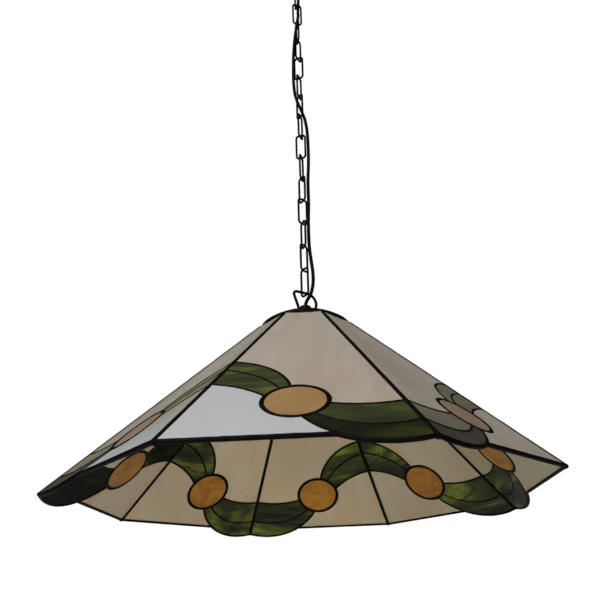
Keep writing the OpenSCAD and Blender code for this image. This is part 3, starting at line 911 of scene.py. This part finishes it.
def make_ridge(shell, i):
    """The seam from panel i to the next, outside and inside. Seams take turns: dip, crest."""
    dip = i % 2 == 1
    foot = lobe_foot() if dip else 0.0
    side = 1 if dip else -1
    ys = [foot + (SLOPE_L - 4.5 - foot) * k / 60 for k in range(61)]
    pts = resample([on_panel(i, side * seam_x(y), y) for y in ys], 3.2)
    up = (out_normal(i) + out_normal(i % 8 + 1)).normalized()
    bead(shell, pts, [up] * len(pts), *RIDGE_LINE, wobble=0.06, seed=i * 7.7, sides=12)
    blob(shell, pts[0], up, 3.1, 2.8)
    inner = resample([on_panel(i, side * seam_x(y), y, -2.4) for y in ys[:-1]], 3.2)
    bead(shell, inner, [up] * len(inner), *RIDGE_INNER_LINE, wobble=0.06, seed=i * 4.9, sides=12)


def make_shade():
    for i in range(1, 9):
        shell = make_panel(i)
        make_ridge(shell, i)
        obj = shell.build(f"solder_beads_{i}", SOLDER, "solder", "shade")
        fix_normals(obj)
        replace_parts(obj, f"solder_web_{i}")
        repaint(f"cream_glass_{i}", cream_look(i))
        repaint(f"green_glass_{i}", green_look(i))
    repaint("amber_discs", amber_look())


make_shade()


# ---------------------------------------------------------------- lampholder, bulb and fixings

def holder_cap():
    return fillet([(5.05, 0), (8.4, 0, 0.6), (9, -5.6, 1.5), (18.4, -12.6, 2.5), (20, -15, 1.2),
                   (20, -17.5), (19.4, -18), (19.4, -19.5), (20, -20), (20, -28, 0.4), (18, -28, 0.2),
                   (18, -16), (7, -11), (5.05, -11)], 0.15)


def holder_skirt():
    """The lampholder's shell, with six grooves for the fingers."""
    outline = [(14, 0, 0.4), (22, 0, 0.9), (22, 4, 0.9), (19.5, 4.4, 0.3)]
    for k in range(6):
        z = 7 + k * 4
        outline += [(19.5, z), (18.8, z + 0.5), (18.8, z + 1.5), (19.5, z + 2)]
    return fillet(outline + [(19.5, 32, 0.3), (17.5, 32), (17.5, 38, 0.3), (14, 38, 0.3)], 0.15)


def bulb_envelope():
    """A 1 mm frosted wall: neck, swelling flank and round nose."""
    wall = [(12.2, 0), (13.2, 0), (13.2, -8), (13.6, -12), (15.0, -17), (17.6, -22.5), (20.9, -28),
            (24.1, -33.5)]
    for a in (14, 4, -8, -20, -32, -44, -56, -68, -80, -87):
        wall.append((BULB_R * math.cos(math.radians(a)), -BULB_DROP + BULB_R * math.sin(math.radians(a))))
    inside = [(r - 1, z + (1 if z < -60 else 0)) for r, z in wall[:1:-1]]
    return wall + [(0.6, -BULB_DROP - BULB_R), (0.6, 1 - BULB_DROP - BULB_R)] + inside + [(12.2, -8)]


def bulb_screw():
    outline = [(0, 0), (13.2, 0)]
    for k in range(5):
        z = k * 3.8
        outline += [(13.2, z + 1.5), (12.2, z + 3.2), (13.2, z + 4.9)]
    return outline + [(12.6, 21), (9, 24.0), (5, 26), (4.6, 27.6), (3, 28), (0, 28)]


def make_holder():
    for name, profile, z, material, slot, node in (
            ("holder_top", holder_cap(), HOLDER_Z, BAKELITE, "bakelite", "lampholder_cap"),
            ("holder_skirt", holder_skirt(), SHELL_Z, BAKELITE, "bakelite", "lampholder_shell"),
            ("bulb_envelope", bulb_envelope(), SHELL_Z + 1, BULB_GLASS, "bulb_glass", "bulb_glass"),
            ("screw_base", bulb_screw(), SHELL_Z + 1, BULB_METAL, "bulb_metal", "bulb_base")):
        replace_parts(lathe(name, profile, z, material, slot, "shade"), node)


make_holder()
for plain_node, plain_material in (
        ("reinforcing_ring", BRASS), ("support_spider", BRASS), ("lamp_nipple", ZINC),
        ("nipple_nuts", ZINC), ("lampholder_insert", PORCELAIN), ("ceiling_bracket", ZINC),
        ("canopy_nipple", ZINC)):
    repaint(plain_node, plain_material)


# ---------------------------------------------------------------- studio

FLOOR_HALF, FLOOR_Z = 60, -2.1
FLOOR_LIFT = 0.7
ROOM_LIGHT, ROOM_IN_GLOSS = 0.30, 0.05


def seen_floor(tree):
    """Lifts the floor towards white as the camera sees it, and leaves the light it throws back alone."""
    lift, blend = tree.nodes.new("ShaderNodeEmission"), tree.nodes.new("ShaderNodeMixShader")
    path, share = tree.nodes.new("ShaderNodeLightPath"), tree.nodes.new("ShaderNodeMath")
    share.operation = "MULTIPLY"
    share.inputs[1].default_value = FLOOR_LIFT
    tree.links.new(path.outputs["Is Camera Ray"], share.inputs[0])
    tree.links.new(share.outputs[0], blend.inputs[0])
    tree.links.new(tree.nodes["Principled BSDF"].outputs[0], blend.inputs[1])
    tree.links.new(lift.outputs[0], blend.inputs[2])
    tree.links.new(blend.outputs[0], tree.nodes["Material Output"].inputs["Surface"])


def make_floor():
    mesh = bpy.data.meshes.new("floor")
    corners = [(x * FLOOR_HALF, y * FLOOR_HALF, FLOOR_Z) for x, y in ((-1, -1), (1, -1), (1, 1), (-1, 1))]
    mesh.from_pydata(corners, [], [(0, 1, 2, 3)])
    floor = bpy.data.objects.new("floor", mesh)
    bpy.context.scene.collection.objects.link(floor)
    pale = bpy.data.materials.new("pale_floor")
    pale.use_nodes = True
    shader = pale.node_tree.nodes["Principled BSDF"]
    shader.inputs["Base Color"].default_value = (0.82, 0.82, 0.82, 1)
    shader.inputs["Roughness"].default_value = 0.9
    seen_floor(pale.node_tree)
    mesh.materials.append(pale)


def make_world():
    """A white room as the camera sees it, dimmer as light, and dimmest in glossy surfaces."""
    world = bpy.data.worlds.new("studio")
    bpy.context.scene.world = world
    world.use_nodes = True
    tree = world.node_tree
    tree.nodes.clear()
    out = tree.nodes.new("ShaderNodeOutputWorld")
    seen, light, mirrored = (tree.nodes.new("ShaderNodeBackground") for _ in range(3))
    seen.inputs["Color"].default_value = (1, 1, 1, 1)
    light.inputs["Color"].default_value = (0.99, 0.99, 1.0, 1)
    light.inputs["Strength"].default_value = ROOM_LIGHT
    mirrored.inputs["Strength"].default_value = ROOM_IN_GLOSS
    path = tree.nodes.new("ShaderNodeLightPath")
    dim, mix = tree.nodes.new("ShaderNodeMixShader"), tree.nodes.new("ShaderNodeMixShader")
    for a, b in ((path.outputs["Is Glossy Ray"], dim.inputs[0]), (light.outputs[0], dim.inputs[1]),
                 (mirrored.outputs[0], dim.inputs[2]), (path.outputs["Is Camera Ray"], mix.inputs[0]),
                 (dim.outputs[0], mix.inputs[1]), (seen.outputs[0], mix.inputs[2]),
                 (mix.outputs[0], out.inputs[0])):
        tree.links.new(a, b)


def area_light(name, place, aim, size, power, colour):
    data = bpy.data.lights.new(name, "AREA")
    data.shape = "DISK"
    data.size = size
    data.energy = power
    data.color = colour
    obj = bpy.data.objects.new(name, data)
    bpy.context.scene.collection.objects.link(obj)
    obj.location = place
    obj.rotation_euler = (Vector(aim) - Vector(place)).to_track_quat("-Z", "Y").to_euler()


make_floor()
make_world()
area_light("front_window", (-1.0, -2.4, 0.5), (0, 0, -0.9), 1.6, 55, (0.97, 0.98, 1.0))
area_light("overhead", (-0.5, -0.5, 1.1), (0, -0.2, -0.9), 1.0, 5, (0.97, 0.98, 1.0))
area_light("back_window", (-0.4, 2.6, -0.1), (0, 0.1, -0.9), 1.8, 26, (1.0, 0.97, 0.93))
bpy.context.scene.view_settings.view_transform = "Standard"
